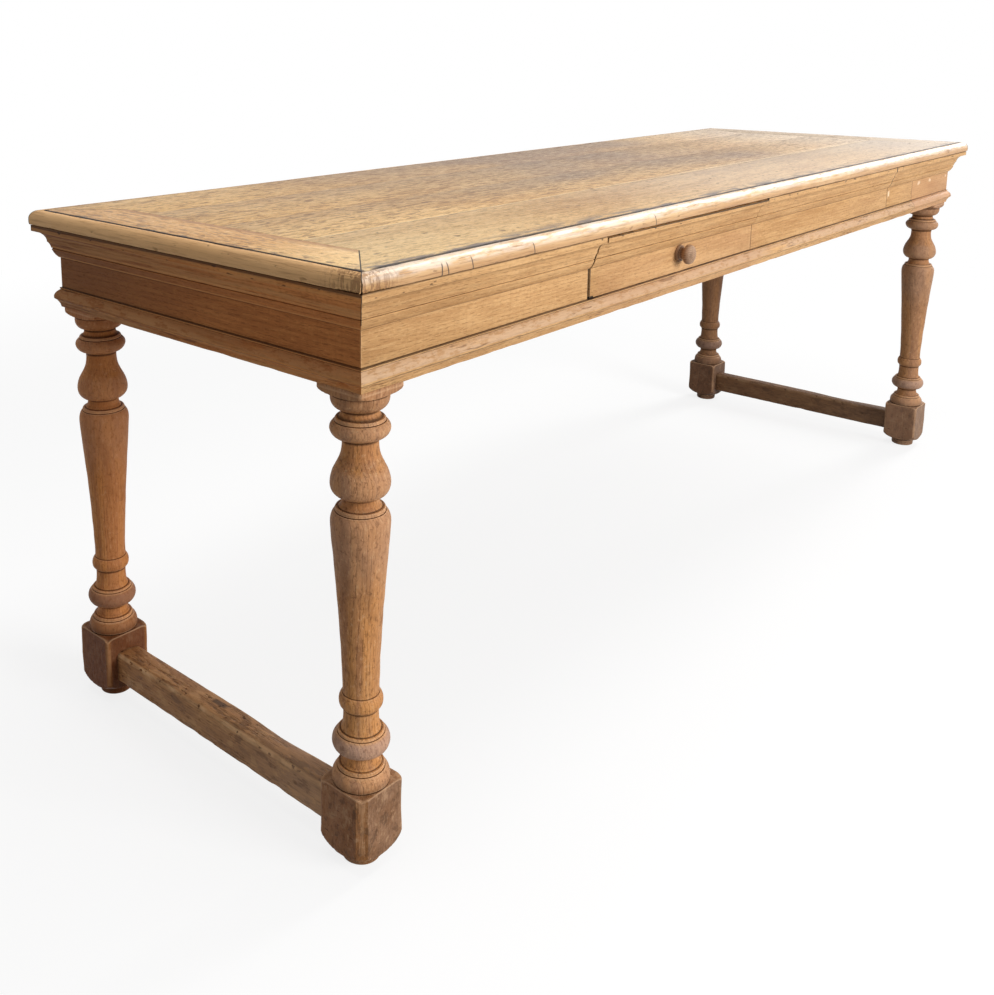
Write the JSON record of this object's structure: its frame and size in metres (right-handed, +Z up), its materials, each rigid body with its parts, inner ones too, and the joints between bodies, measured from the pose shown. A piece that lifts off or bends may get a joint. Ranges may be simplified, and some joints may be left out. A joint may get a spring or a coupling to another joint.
{
  "type": "farmhouse table",
  "caption": "Long oak farmhouse table on turned legs with a moulded apron, one off-centre drawer on a slide, a nosed top and a low stretcher at each end.",
  "frame": {"origin": "on the floor, under the middle of the top", "axes": "+X along the length, +Y from the drawer side to the back, +Z up"},
  "size_m": [2.137, 0.678, 0.768],
  "materials": {
    "oak_top": "stripped and scrubbed oak, satin, with grey patches",
    "oak_apron": "waxed oak, satin, with filler and scratches",
    "oak_leg": "waxed oak, open pores, worn edges",
    "oak_inside": "bare dry oak, matt",
    "oak_knob": "handled oak, satin"
  },
  "bodies": {
    "frame": {"apron_back": "oak_apron", "apron_front_left": "oak_apron", "apron_front_right": "oak_apron", "apron_left": "oak_apron", "apron_patch": "oak_apron", "apron_right": "oak_apron", "base_mould_back": "oak_apron", "base_mould_front": "oak_apron", "base_mould_left": "oak_apron", "base_mould_right": "oak_apron", "cornice_back": "oak_apron", "cornice_front_left": "oak_apron", "cornice_front_middle": "oak_apron", "cornice_front_right": "oak_apron", "cornice_left": "oak_apron", "cornice_right": "oak_apron", "cross_board_left": "oak_top", "cross_board_right": "oak_top", "drawer_guide_left": "oak_inside", "drawer_guide_right": "oak_inside", "drawer_kicker_left": "oak_inside", "drawer_kicker_right": "oak_inside", "drawer_rail": "oak_apron", "drawer_runner_left": "oak_inside", "drawer_runner_right": "oak_inside", "drawer_stops": "oak_inside", "glue_blocks": "oak_inside", "leg_back_left": "oak_leg", "leg_back_right": "oak_leg", "leg_front_left": "oak_leg", "leg_front_right": "oak_leg", "nosing_back": "oak_top", "nosing_front": "oak_top", "nosing_left": "oak_top", "nosing_right": "oak_top", "stretcher_left": "oak_leg", "stretcher_pegs": "oak_leg", "stretcher_right": "oak_leg", "top_bearer_left": "oak_inside", "top_bearer_middle": "oak_inside", "top_bearer_right": "oak_inside", "top_board_back": "oak_top", "top_board_front": "oak_top", "top_board_second": "oak_top", "top_board_third": "oak_top"},
    "drawer": {"drawer_front": "oak_apron", "drawer_cornice": "oak_apron", "drawer_side_left": "oak_inside", "drawer_side_right": "oak_inside", "drawer_back": "oak_inside", "drawer_bottom": "oak_inside", "drawer_knob": "oak_knob"}
  },
  "joints": [
    {"name": "drawer_slide", "type": "slide", "parent": "frame", "child": "drawer", "axis": [0, -1, 0], "range_m": [0, 0.36]}
  ]
}
